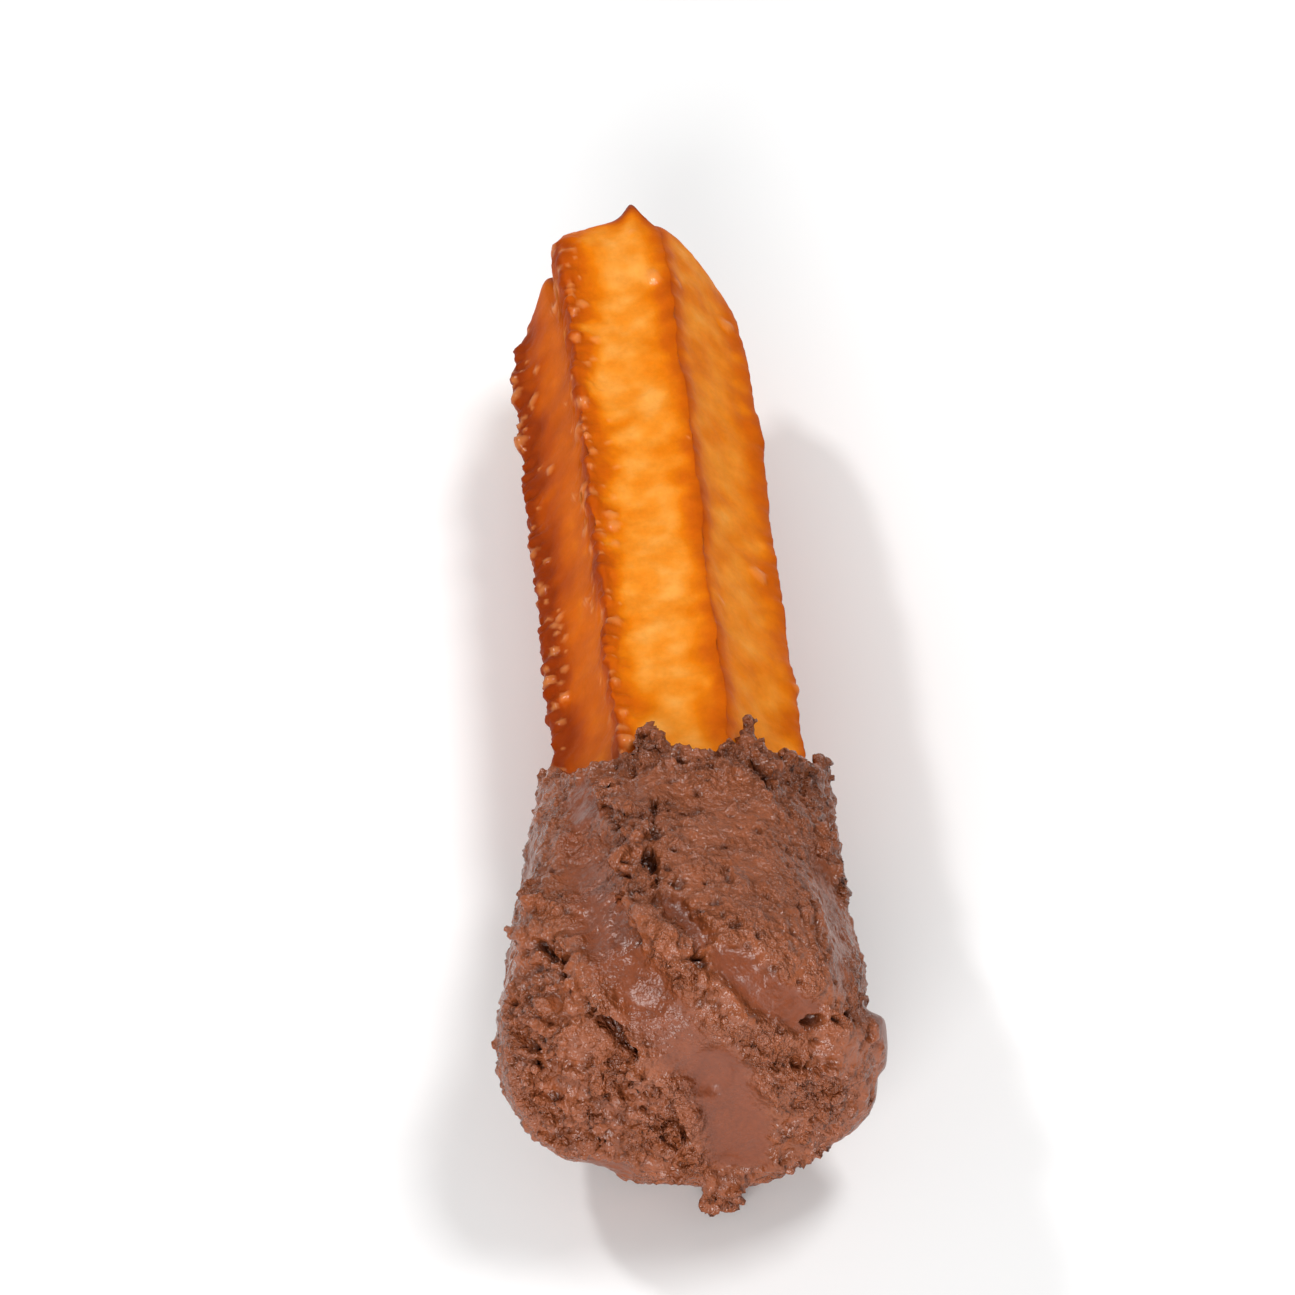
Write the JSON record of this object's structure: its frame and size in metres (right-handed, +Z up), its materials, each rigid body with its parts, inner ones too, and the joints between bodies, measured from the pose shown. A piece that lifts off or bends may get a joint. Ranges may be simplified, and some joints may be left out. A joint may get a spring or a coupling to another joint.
{
  "type": "churro",
  "caption": "Half of a ridged, star-section fried churro lying down, one end wrapped in a thick, uneven coat of spread chocolate.",
  "frame": {"origin": "middle of the footprint, on the surface it rests on", "axes": "+X along the stick from the chocolate end to the free end, +Z up"},
  "size_m": [0.1072, 0.0338, 0.0316],
  "materials": {
    "fried_dough": "golden fried crust, slightly oily, browned and blistered along the ridges",
    "chocolate": "thick milk chocolate spread, satin where the knife pressed it, crumbly elsewhere"
  },
  "bodies": {
    "root": {"dough_stick": "fried_dough", "chocolate_coat": "chocolate"}
  },
  "joints": []
}
